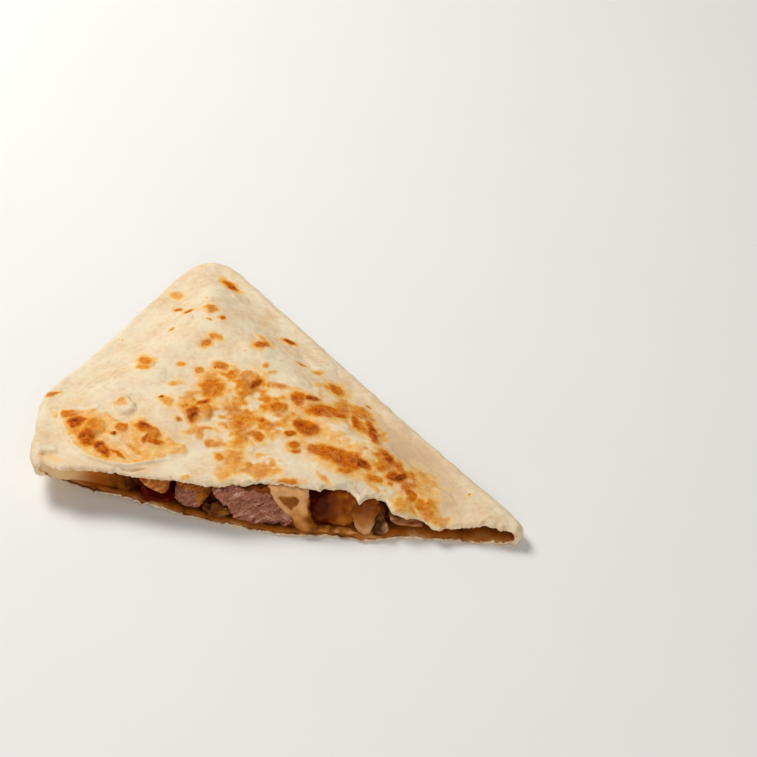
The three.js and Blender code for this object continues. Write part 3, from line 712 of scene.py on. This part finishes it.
def cells(grid):
    corners = (grid[:-1, :-1], grid[:-1, 1:], grid[1:, 1:], grid[1:, :-1])
    return np.stack([corner.ravel() for corner in corners], -1)


def sparse_cells(grid):
    """Cells of two by two for a face that is nearly flat, fanned where they meet its finer edges."""
    faces = []
    rows, columns = grid.shape
    ring = ((0, 0), (0, 1), (0, 2), (1, 2), (2, 2), (2, 1), (2, 0), (1, 0))
    for j in range(0, rows - 1, 2):
        for i in range(0, columns - 1, 2):
            points = [
                int(grid[v, u]) for v, u in ((j + v, i + u) for v, u in ring)
                if v % 2 == u % 2 == 0 or v in (0, rows - 1) or u in (0, columns - 1)
            ]
            if len(points) == 4:
                faces.append(points)
            else:
                centre = int(grid[j + 1, i + 1])
                faces.extend([centre, p, q] for p, q in zip(points, points[1:] + points[:1]))
    return faces


def skin_surface(depth, rows, start):
    """A face above, a face below and the fold between, `depth` in from the outside of the wedge."""
    upper_plan, outward = face_plan(torn(top_lip, 1, TOP_TEARS), rows)
    lower_plan = face_plan(torn(bottom_lip, 5, BOTTOM_TEARS), rows)[0]
    ux, uy, lx, ly = *np.moveaxis(upper_plan, -1, 0), *np.moveaxis(lower_plan, -1, 0)
    upper = np.dstack([ux, uy, top_face(ux, uy) - depth])
    lower = np.dstack([lx, ly, curl(lx, ly) + depth])
    if depth == 0:
        # The outer face on top is eased out further back than its lip, and the lip bends down a little.
        behind = uy - uy[:1]
        ease = smooth((behind - 8) / 14)[1:-1, 1:-1, None]
        for _ in range(EASING_ROUNDS):
            around = (upper[2:, 1:-1] + upper[:-2, 1:-1] + upper[1:-1, 2:] + upper[1:-1, :-2]) / 4
            upper[1:-1, 1:-1] += ease * (around - upper[1:-1, 1:-1])
        upper[..., 2] -= 0.7 * np.clip(1 - behind / 1.5, 0, 1) ** 2

    def edge(face):
        return np.concatenate([face[:-1, 0], face[-1, :-1], face[::-1, -1]])

    high, low = edge(upper), edge(lower)
    angle = np.pi * (0.5 - np.arange(1, ROUND) / ROUND)[None, :, None]
    reach = (FOLD_REACH - depth) * np.cos(angle)
    fold = np.concatenate(
        [
            high[:, None, :2] + outward[:, None] * reach,
            (high + low)[:, None, 2:] / 2 + (high - low)[:, None, 2:] / 2 * np.sin(angle),
        ],
        -1,
    )
    upper_at = numbered(start, *upper.shape[:2])
    lower_at = numbered(start + upper_at.size, *lower.shape[:2])
    fold_at = numbered(start + 2 * upper_at.size, *fold.shape[:2])
    arcs = np.column_stack([edge(upper_at[..., None])[:, 0], fold_at, edge(lower_at[..., None])[:, 0]])
    points = np.concatenate([upper.reshape(-1, 3), lower.reshape(-1, 3), fold.reshape(-1, 3)])
    mouth = np.concatenate([upper_at[0], arcs[-1, 1:-1], lower_at[0, ::-1], arcs[0, -2:0:-1]])
    return dict(points=points, upper=upper_at, lower=lower_at, fold=fold_at, arcs=arcs, mouth=mouth)


def hidden_side(x, y):
    """Whether a plan point lies towards the back of the wedge, away from the listed marks."""
    line = np.interp(x, [-90, -63, -31, 7, 49, 66], [40, 25, 0, -14, -30, -62])
    return y > line and nearest_rim(np.array(x), np.array(y))[0] > 3


def build_tortilla():
    outer = skin_surface(0, DEEP, 0)
    inner = skin_surface(SHEET, INNER_DEEP, len(outer["points"]))
    both = np.concatenate([outer["points"], inner["points"]])

    # The cut edge, from the outer mouth to the inner one: a thin torn face that stands a little proud.
    out, into = both[outer["mouth"]], both[inner["mouth"]]
    low = slice(ACROSS + ROUND, 2 * ACROSS + ROUND)
    proud = np.full(len(out), TOP_EDGE_PROUD)
    proud[low] = LOWER_EDGE_PROUD
    rows = []
    for k in range(1, EDGE):
        row = mix(out, into, k / EDGE)
        row[:, 1] -= proud * math.sin(math.pi * k / EDGE) ** 0.7 + 0.22 * rough(row, 0.9, 3 + k)
        rows.append(row)
    points = np.concatenate([both, *rows])
    strip = np.vstack([outer["mouth"], numbered(len(both), EDGE - 1, len(out)), inner["mouth"]])
    strip_faces = cells(np.column_stack([strip, strip[:, 0]]))

    # The toasted marks and the relief, above and below.
    marks = TOAST_AND_SHADE_MARKS + random_marks(11, 80, hidden_side, [0.8, 1.2, 2.0, 2.0, 3.0, 4.6], 0.3, 0.9)
    tints = TINTS + random_marks(12, 9, hidden_side, [9.0, 14.0], 0.3, 0.42)
    under = random_marks(23, 110, lambda x, y: True, [0.8, 1.6, 2.4, 4.0], 0.3, 0.9)
    under_tints = random_marks(24, 16, lambda x, y: True, [9.0, 16.0], 0.3, 0.45)
    toast = np.zeros(len(points))
    upper, lower = outer["upper"].ravel(), outer["lower"].ravel()
    x, y = points[upper, 0], points[upper, 1]
    # The toast field also carries the painted shade of the corner dimple's mark.
    toast[upper] = toasting(x, y, marks, tints, 0)
    deep, crisp = in_big_blister(x, y)
    tan = (0.26 + 0.1 * rough(flat(x, y), 4, 15)) * smooth((deep - 0.3) / mix(3.0, 0.8, crisp))
    toast[upper] = np.maximum(toast[upper] * (1 - 0.85 * crisp * np.exp(-((deep / 0.6) ** 2))), tan)
    toast[upper] *= 1 - 0.35 * smooth(1.2 * (1 - oval(x, y, PALE_RIDGE) ** 2))
    tanned = np.zeros(len(points))
    for patch in TANNED:
        even = smooth(1.4 - oval(x, y, patch) + 0.3 * rough(flat(x, y), 7, 31))
        tanned[upper] = np.maximum(tanned[upper], patch[5] * even)
    points[upper, 2] += crust_relief(x, y, toast[upper])
    x, y = points[lower, 0], points[lower, 1]
    clear_of_lip = mix(1, smooth((y - bottom_lip(x) - 0.4) / 2.2), smooth((x + 52) / 8))
    toast[lower] = toasting(x, y, under, under_tints, 6) * clear_of_lip
    points[lower, 2] += 0.25 * np.abs(rough(flat(x, y), 9, 7))
    down = np.arange(1, ROUND)[None] / ROUND
    toast[outer["fold"]] = toast[outer["arcs"][:, :1]] * smooth(1 - down / 0.55)
    toast[outer["fold"]] += toast[outer["arcs"][:, -1:]] * smooth((down - 0.6) / 0.4)
    fold = outer["fold"].ravel()
    waver = [layered(points[fold], (1, 6, seed), (0.4, 2, seed)) for seed in (1, 2, 3)]
    swell = np.tile(np.sin(np.pi * np.arange(1, ROUND) / ROUND), len(outer["fold"]))
    points[fold] += np.stack(waver, -1) * (0.45, 0.45, 0.2) * swell[:, None]

    # The inner face is soaked more behind the lip, and the cut edge below more towards its top.
    x, y, lip = points[:, 0], points[:, 1], outer["lower"][0]
    inside, cut = np.zeros(len(points)), np.zeros(len(points))
    inside[len(outer["points"]) : len(both)] = 1
    cut[strip[1:-1].ravel()] = 1
    cut[lip] = smooth((x[lip] + 52) / 8)
    wet = rough(points, 5, 9)
    behind = smooth((y - bottom_lip(x) - 0.6) / mix(3.5, 7.5, smooth((x - 10) / 8)))
    behind *= 1 - 0.4 * smooth((x - 56) / 14)
    sauce = inside * np.clip(0.46 + 0.55 * behind + 0.35 * wet, 0, 1) * smooth((x + 84) / 12)
    edge_below = strip[1:-1, low]
    upwards = np.arange(1, EDGE)[:, None] / EDGE
    soaked = along(LOWER_EDGE_SOAKED, x[edge_below]) + 1.6 * (upwards - 0.5) + 0.4 * wet[edge_below]
    soaked += 0.5 * rough(points[edge_below.ravel()], (2.2, 2.2, 0.9), 12).reshape(soaked.shape)
    sauce[edge_below] = np.clip(soaked, 0, 1)
    sauce[lip] = 0.12 + 0.2 * np.clip(wet[lip], 0, 1)

    faces = [
        cells(outer["upper"]), sparse_cells(outer["lower"]), cells(outer["arcs"]), strip_faces,
        cells(inner["upper"]), cells(inner["lower"]), cells(inner["arcs"]),
    ]
    piece(
        "folded_tortilla", points, faces, FLATBREAD, "flatbread", ["tortilla"],
        toast=toast, tanned=tanned, inner=inside, cut=cut, sauce=sauce,
    )


def build_side_flap():
    """The side flap between the layers at the left end, a smooth web that stands back from the cut."""
    x = np.linspace(FLAP_LEFT, FLAP_RIGHT, FLAP_ACROSS + 1)
    y = top_lip(x) + FLAP_DEPTH * smooth((x - FLAP_LEFT) / 20) + 6 * smooth((x + 54) / 9)
    low, high = curl(x, y) + SHEET - 0.3, top_face(x, y) - SHEET + 0.3
    squeeze = 0.5 - 0.5 * np.sqrt(1 - np.clip((-81.3 - x) / 3.4, 0, 0.99) ** 2)
    low, high = mix(low, high, squeeze), mix(high, low, squeeze)
    share = np.linspace(0, 1, FLAP_TALL + 1)[:, None]
    z = mix(low, high, share)
    front = np.dstack([np.broadcast_to(x, z.shape), y + 1.1 * np.sin(np.pi * share) ** 0.8, z])
    front[..., 1] += 0.25 * rough(front.reshape(-1, 3), (9, 9, 3), 4).reshape(z.shape)
    points = np.concatenate([front, front + (0, FLAP_THICK, 0)]).reshape(-1, 3)
    f, r = numbered(0, *z.shape), numbered(z.size, *z.shape)
    loop = [np.concatenate([g[0], g[1:, -1], g[-1, -2::-1], g[-2:0:-1, 0]]) for g in (f, r)]
    rim_faces = cells(np.array([np.append(edge, edge[0]) for edge in loop]))
    x = points[:, 0]
    # Darker towards the right end, where the flap tucks in beside the chicken.
    sauce = 0.8 * smooth((x + 77) / 24) + 0.4 * smooth((x + 53) / 6) + 0.1 * rough(points, (6, 6, 2), 2)
    inside = 0.75 * smooth((x + 85) / 10) + 0.25 * smooth((x + 74) / 12)
    piece(
        "side_flap", points, [cells(f), cells(r), rim_faces], FLATBREAD, "flatbread", ["tortilla"],
        toast=0 * x + 0.05, tanned=0 * x, inner=inside, cut=0 * x, sauce=np.clip(sauce, 0, 1),
    )


# ---- the filling
def strands(points, way, long, thin, seed):
    """Noise drawn out along `way`: the fibres of meat, or an onion's layers."""
    way = Vector(way).normalized()
    turn = np.array(way.to_track_quat("X", "Z").to_matrix())
    return rough(points @ turn, (long, thin, thin), seed)


def chunk(node, finish, slot, fibres, deep, lump, shape=np.copy, looks=lambda points: {}, plug=()):
    """A piece of filling in its node's own form, with a fibrous and lumpy skin. Beads may plug a gap in it.
    `shape` moves the skin's points, and `looks` gives further fields."""
    points, faces, normals = skinned_node(node, PIECE_SKIN, 4, plug)
    points = shape(points)
    fibre = fibres(points)
    seed = len(node)
    skin = lump * (layered(points, (1.1, 6, seed + 3), (0.8, 2.8, seed), (0.35, 1.4, 2)) - 0.3) + deep * fibre
    outside = points + normals * skin[:, None]
    piece(node + "_piece", outside, [faces], finish, slot, [node], fibre=0.5 + 0.7 * fibre, **looks(points))


def straight(way, long, thin):
    """Fibres that all run one way."""

    def fibres(points):
        return 0.7 * strands(points, way, long, thin, 1) + 0.4 * strands(points, way, long / 2, thin / 2, 3)

    return fibres


def swept(points):
    """The grain of the large piece of meat: it climbs from the lower left and levels out to the right."""
    x, y, z = points.T
    across = z - 1.0 * (x + 20) + 0.014 * (x + 20) ** 2 + 0.7 * rough(points, 3.5, 8)
    bundles = rough(np.stack([x, 2 * y, 2.6 * across], -1), 5.0, 2)
    fine = rough(np.stack([1.3 * x, 2 * y, 3.4 * across], -1), 2.0, 4)
    return 0.55 * bundles + 0.45 * fine


def seared_top(points, edge, stain):
    """Browned above a line through stations of x and height, and stained by the sauce up to a height."""
    x, _, z = points.T
    drift = rough(points, 2.5, 5)
    above = smooth((z - along(edge, x) + drift) / 2.5)
    return {"sear": above, "stain": smooth((stain - z) / 2.5 + 0.8 * drift)}


def glazed(points, low, high, right, aside):
    """Lighter low down and towards the right, where the glaze has caught. `aside` is the right's share."""
    x, _, z = points.T
    share = mix(smooth((high - z) / (high - low)), smooth((x - right) / 7), aside)
    return {"glaze": np.clip(0.85 * share + 0.25 * rough(points, 2.5, 3), 0, 1)}


def hang(z):
    """Where the sheet of cheese hangs at a height: under the top layer, and further out towards its foot."""
    return -68.6 - 0.57 * (15.4 - z) + 0.9 * smooth((z - 12.8) / 3)


def cut_back(points):
    """The large piece of meat, cut back at its lower left for the onion and on its right for the sheet of
    cheese. At its upper left it reaches towards its neighbour."""
    x, y, z = points.T
    x = x - 1.7 * smooth((-10 - x) / 8) * smooth((z - 9) / 4)
    over = np.maximum(-0.733 * (x + 19.8) - 0.68 * (z - 12.6) + 0.6 * rough(points, 2.2, 4), 0)
    x, z = x + 0.733 * over, z + 0.68 * over
    y = y + np.maximum(hang(z) + 1 - y, 0) * smooth((x + 0.5) / 2) * smooth((z - 11) / 2)
    return np.stack([x, y, z], -1)


def leaning(points):
    """The small piece of meat, a little wider towards the large one."""
    x, y, z = points.T
    return np.stack([x + 0.9 * smooth((x + 30) / 5) * smooth((z - 5) / 4), y, z], -1)


def swollen(points):
    """The roasted chunk, swollen towards its neighbours."""
    x, y, z = points.T
    sideways = smooth((x - 24) / 6) - 1.7 * smooth((22 - x) / 8)
    return np.stack([x + sideways, y, z - 0.8 * smooth((8 - z) / 5)], -1)


def pointed(points):
    """A strip cut on the slant: it narrows downwards to a point on its right."""
    x, y, z = points.T
    share = smooth((z.max() - z) / (z.max() - z.min()))
    tip = x.min() + 9.5
    return np.stack([mix(tip + 1.14 * (x - tip) - 1.3, tip, 0.72 * share), y, z - 1.2 * share], -1)


def draped(outline, place, thick):
    """A hanging sheet inside an outline, as runs of touching beads, thin at its edges. `place` says how far
    back it hangs at a height."""
    across, up = np.arange(-4, 44, SHEET_STEP), np.arange(1.2, 18, SHEET_STEP)
    x, z = (grid.ravel() for grid in np.meshgrid(across, up))
    inside, gap = within(x, z, outline)
    radius = np.minimum(thick, 0.45 + 0.5 * gap)
    spots = zip(x[inside], z[inside], radius[inside])
    return [[(x, place(z), z, r), (x, place(z) + 0.6, z, r)] for x, z, r in spots]


def poured(name, runs, finish, glaze):
    """Something melted, as runs that have joined into one skin. `glaze` says how light it is."""
    points, faces, normals = skinned(beads(runs), MELTED_SKIN, 6)
    outside = points + normals * layered(points, (0.42, 2.8, 5), (0.12, 1.1, 6))[:, None]
    piece(name, outside, [faces], finish, "cheese", ["melted_cheese"], glaze=glaze(points))


def build_filling():
    edge = [(-20, 15.6), (-12, 15), (-6, 13.6), (0, 12.2), (3, 10), (12, 8.6)]
    plug = [
        [(-3, -68.8, 10, 3.2), (3, -68, 10, 3.2), (6, -69.6, 7.5, 3), (8.8, -71.2, 5.2, 2.6)],
        [(2, -71.2, 4.8, 2.5), (6, -72, 4.4, 2.3), (9.2, -72.3, 3.9, 1.9)],
    ]
    chunk("meat_large", MEAT, "meat", swept, 0.6, 0.85, cut_back, lambda at: seared_top(at, edge, 3.6), plug)
    edge = [(-37, 10.8), (-32, 11.2), (-28.2, 12.6), (-26.6, 11), (-25.4, 4), (-23, 0)]
    fat = straight((1, 0.2, 0.8), 3, 1.1)
    chunk("meat_small", FATTY_MEAT, "meat", fat, 0.4, 0.8, leaning, lambda at: seared_top(at, edge, 5))
    chunk("chicken_strip", CHICKEN, "chicken", straight((0.1, 1, 0.5), 5, 1.4), 0.3, 0.35, pointed)
    tail = [
        (-43.8, -66.4, 5, 1.8), (-45.4, -64.4, 7.8, 1.8), (-46, -62.4, 10.6, 1.7), (-46.2, -60.6, 13.4, 1.6),
    ]
    chunk("pepper_strip", PEPPER, "pepper", straight((1, 0.2, 0), 6, 2.4), 0.25, 0.6, plug=[tail])
    scraps = [
        [(-22.6, -69.6, 5.6, 1.5), (-20.6, -70.8, 5, 1.6)], [(-16.5, -70.8, 7, 1.5), (-14.6, -71, 5.6, 1.6)],
    ]
    chunk("onion_bit", BROWNED_ONION, "onion", straight((1, 0, 0.3), 4, 1.2), 0.5, 1.1, plug=scraps)
    roast = straight((1, 0.3, -0.2), 5, 1.8)
    chunk("roast_chunk", ROAST, "roast", roast, 0.35, 0.8, swollen, lambda at: glazed(at, 3, 12, 19, 0.65))
    chunk(
        "amber_onion", CARAMEL, "glazed_onion", straight((0.3, 1, 0.3), 5, 1.3), 0.25, 0.35,
        lambda at: at + (0, 0.7, 0), lambda at: glazed(at, 4, 13, 40, 0.3),
    )
    ham = straight((1, 0.2, 0.1), 5, 1)
    chunk("ham_strip", HAM, "ham", ham, 0.2, 0.2, lambda at: at - (1.4, 0.9, 0.2))

    # The strings of onion bend over the lower layer's edge side by side, beside a short stub.
    first = np.array([
        (37.9, -69.4, 7.4, 0.5), (38.3, -72.7, 6.6, 0.55), (38.6, -74.1, 5.4, 0.62), (38.5, -74.9, 4, 0.62),
        (38.1, -75.3, 2.9, 0.55), (37.6, -75.6, 2.1, 0.45),
    ])
    spread = np.zeros_like(first)
    spread[:, 0], spread[:, 2] = (1.2, 2.2, 3.2, 3.6, 3, 2), (1.5, 1.4, 1, 0.5, -0.2, -0.2)
    stub = [(38.8, -69.2, 5.4, 1.7), (39.8, -71, 4.4, 1.8)]
    strings = [stub, *(first + spread * out for out in (0, 0.3, 0.62, 1))]
    points, faces, normals = skinned(beads(strings), THREAD_SKIN, 1)
    fibre = strands(points, (0.3, 1, -0.6), 6, 1.6, 2)
    # Paler where the outer strings bend out over the edge at the front right: painted highlight. The stripes
    # come from the strands' own fibre.
    pale = 0.2 + 0.42 * smooth((-73.6 - points[:, 1]) / 1.2) * smooth((points[:, 0] - 39) / 2)
    piece(
        "onion_strings_bundle", points + normals * 0.08 * fibre[:, None], [faces], SOFT_ONION, "onion",
        ["onion_strings"], fibre=pale + 0.35 * fibre,
    )

    # The soft core behind the pieces.
    points, faces, normals = skinned_node("melted_cheese", CORE_SKIN, 3)
    skin = layered(points, (0.8, 4.5, 2), (0.35, 1.9, 3)) - 0.4
    x, y, z = points.T
    points[:, 1] += along(CORE_SHIFT, x) * smooth((-62 - y) / 4) * smooth((z - 4) / 2)
    piece("filling_core", points + normals * skin[:, None], [faces], SAUCE, "cheese", ["melted_cheese"])

    # Cheese: a sheet hangs from under the top layer and runs down to a foot. A strand crosses its hole.
    sheet = [
        (-0.6, 15.9), (0.3, 14), (1, 12.7), (2.4, 12.2), (3.2, 13), (4.3, 13.7), (5.9, 14.1), (7.4, 13.7),
        (9.2, 13.2), (10.3, 12.2), (9.6, 10.9), (8.4, 10.4), (7.7, 8.8), (7.4, 7.2), (8.3, 5.9), (9.5, 3.8),
        (10.3, 2.7), (12.2, 2.1), (14.5, 1.9), (17.1, 2.6), (17.5, 3.8), (16.2, 5.4), (14.9, 6.6),
        (14.5, 8.2), (13.9, 10.2), (14.3, 12.3), (13.9, 14.3), (14, 15.9),
    ]
    strand = [
        (x, hang(z) - out, z, radius)
        for x, z, out, radius in ((2, 12.6, 0.4, 0.9), (4.4, 10.6, 0.6, 0.8), (7.8, 8, 0.5, 1))
    ]
    # A second sheet hangs just behind the hole, coloured at the cheese's dark end: painted shade seen through
    # the hole.
    behind_hole = [(1.6, 12.2), (4, 14.2), (7.5, 14), (10.4, 12.4), (9.6, 10), (7.6, 8), (5.5, 9)]

    def caught(points):
        x, y, z = points.T
        # Lighter higher up, and darker towards the right edge above the foot. `back` darkens what lies behind
        # the sheet's front below its top: painted shade, seen mostly through the hole.
        back = smooth((y - hang(z) + 0.95) / 0.35) * smooth((14.2 - z) / 0.8)
        light = 0.04 + z / 13 - 0.3 * smooth((x - 10) / 4) * smooth((z - 5) / 3)
        return np.clip(light + 0.55 * rough(points, 3.2, 3), 0, 1) * (1 - 0.9 * back)

    painted_shade_backing = draped(behind_hole, lambda z: hang(z) + 0.1, 0.7)
    poured("cheese_runs", [*draped(sheet, hang, 1.2), strand, *painted_shade_backing], CHEESE, caught)

    # A smear of cheese that has run along the lower layer.
    smear = [
        [
            (12, -75, 2.2, 0.5), (17, -75.3, 2.3, 0.75), (22, -74.9, 2.2, 0.6), (27, -75.2, 2.3, 0.8),
            (33, -75.4, 2.2, 0.6),
        ],
        [(15, -74, 2.3, 0.7), (20, -73.6, 2.4, 0.9), (25, -73.8, 2.3, 0.7), (29, -74.2, 2.3, 0.8)],
    ]
    poured("cheese_smear", smear, CHEESE, lambda points: 0.45 + 0.7 * rough(points, 2, 3))

    # A soft fold of onion and cheese that slides over the lower layer's edge, glassy above and pale below.
    fold = [
        (28.5, 12.2), (28.5, 8.6), (29.9, 6), (30.8, 4), (32.2, 2.4), (34.2, 1.6), (36.2, 2.4), (37.3, 4.8),
        (38.4, 7.4), (39.4, 9.2), (38.6, 11.4), (34, 12.6),
    ]
    poured(
        "melting_fold", draped(fold, lambda z: -69.8 - 0.8 * (9 - z), 1.5), AMBER,
        lambda points: np.clip(1.2 - points[:, 2] / 8.5 + 0.15 * rough(points, 2, 3), 0, 1),
    )


build_tortilla()
build_side_flap()
build_filling()


# ---- floor, light and camera
def build_studio():
    ground = bpy.data.meshes.new("floor")
    corners = [(x * FLOOR_REACH, y * FLOOR_REACH, 0) for x, y in ((-1, -1), (1, -1), (1, 1), (-1, 1))]
    ground.from_pydata(corners, [], [(0, 1, 2, 3)])
    paint = Finish("pale_floor", {"Roughness": 0.8})
    paint.finish(base_color=paint.blend(hue(240, 238, 234), hue(236, 234, 230), paint.grain(60)))
    ground.materials.append(paint.material)
    placed("floor", ground)

    world = bpy.data.worlds.new("studio")
    world.use_nodes = True
    sky = world.node_tree.nodes["Background"].inputs
    sky["Color"].default_value, sky["Strength"].default_value = SKY_COLOUR, SKY_LIGHT
    bpy.context.scene.world = world

    for name, place, size, power in (
        ("window", (-0.52, 0.42, 0.84), 0.4, 9.2),
        ("front_fill", (0.2, -0.9, 0.5), 0.8, 3.2),
    ):
        light = bpy.data.lights.new(name, "AREA")
        light.size, light.energy = size, power
        lamp = placed(name, light)
        lamp.location = place
        lamp.rotation_euler = Vector(place).to_track_quat("Z", "Y").to_euler()


def place_camera():
    back = Vector((0, -math.cos(CAMERA_TILT), math.sin(CAMERA_TILT)))
    level, rise = Vector((1, 0, 0)), Vector((0, math.sin(CAMERA_TILT), math.cos(CAMERA_TILT)))
    right = level * math.cos(CAMERA_ROLL) + rise * math.sin(CAMERA_ROLL)
    up = rise * math.cos(CAMERA_ROLL) - level * math.sin(CAMERA_ROLL)
    camera = placed("camera", bpy.data.cameras.new("camera"))
    turn = Matrix((right, up, back)).transposed().to_4x4()
    camera.matrix_world = Matrix.Translation(CAMERA_PLACE) @ turn
    camera.data.lens, camera.data.sensor_width = LENS, FILM
    bpy.context.scene.camera = camera


build_studio()
place_camera()
bpy.context.scene.view_settings.view_transform = "Standard"
